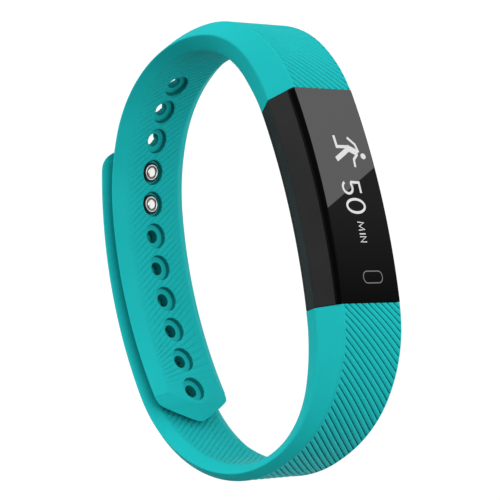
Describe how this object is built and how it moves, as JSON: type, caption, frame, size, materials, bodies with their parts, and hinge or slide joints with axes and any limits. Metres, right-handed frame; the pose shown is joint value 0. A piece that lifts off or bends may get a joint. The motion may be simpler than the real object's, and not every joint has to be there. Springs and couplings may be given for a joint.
{
  "type": "fitness tracker band",
  "caption": "Slim wrist activity tracker: a curved display module between two soft straps, closed into a loop by a stud clasp pressed through the strap's holes.",
  "frame": {"origin": "centre of the bounding box at its base, the lower edge of the band as it lies on its side", "axes": "+X is the way the display faces, +Y runs along the display towards the strap with the row of holes, +Z is the wrist axis"},
  "size_m": [0.0555, 0.0727, 0.0158],
  "materials": {
    "strap_teal": "matte",
    "housing_black": "satin",
    "glass_black": "gloss",
    "steel": "polished",
    "gold": "plated",
    "board_green": "solder mask",
    "chip_black": "matte",
    "cell_silver": "foil",
    "panel_dark": "gloss"
  },
  "bodies": {
    "module": {"housing_shell": "housing_black", "back_cover": "housing_black", "cover_glass": "glass_black", "oled_panel": "panel_dark", "panel_flex": "gold", "touch_electrode": "gold", "display_carrier": "chip_black", "main_board": "board_green", "radio_chip": "chip_black", "motion_sensor": "chip_black", "charge_chip": "chip_black", "clock_crystal": "steel", "battery_cell": "cell_silver", "motor_case": "steel", "usb_tongue": "housing_black", "usb_contact_1": "gold", "usb_contact_2": "gold", "usb_contact_3": "gold", "usb_contact_4": "gold", "lower_tongue": "housing_black", "hole_strap_root": "strap_teal", "buckle_strap_root": "strap_teal"},
    "strap_tail": {"hole_strap_tail": "strap_teal"},
    "clasp_end": {"buckle_strap_end": "strap_teal", "clasp_plate": "steel", "clasp_stud_1": "steel", "clasp_stud_2": "steel"},
    "rotor": {"vibration_rotor": "steel"}
  },
  "joints": [
    {"name": "tail_flex", "type": "hinge", "parent": "module", "child": "strap_tail", "pos_m": [-0.0208, 0.02062, 0.0079], "axis": [0, 0, 1], "range_deg": [0, 24], "stiffness_Nm_per_rad": 0.02},
    {"name": "clasp_release", "type": "hinge", "parent": "module", "child": "clasp_end", "pos_m": [-0.02522, -0.00723, 0.0079], "axis": [0, 0, 1], "range_deg": [0, 55], "stiffness_Nm_per_rad": 0.02},
    {"name": "rotor_spin", "type": "hinge", "parent": "module", "child": "rotor", "pos_m": [0.01898, -0.00219, 0.0079], "axis": [0.9543, 0.2987, 0], "continuous": true}
  ]
}
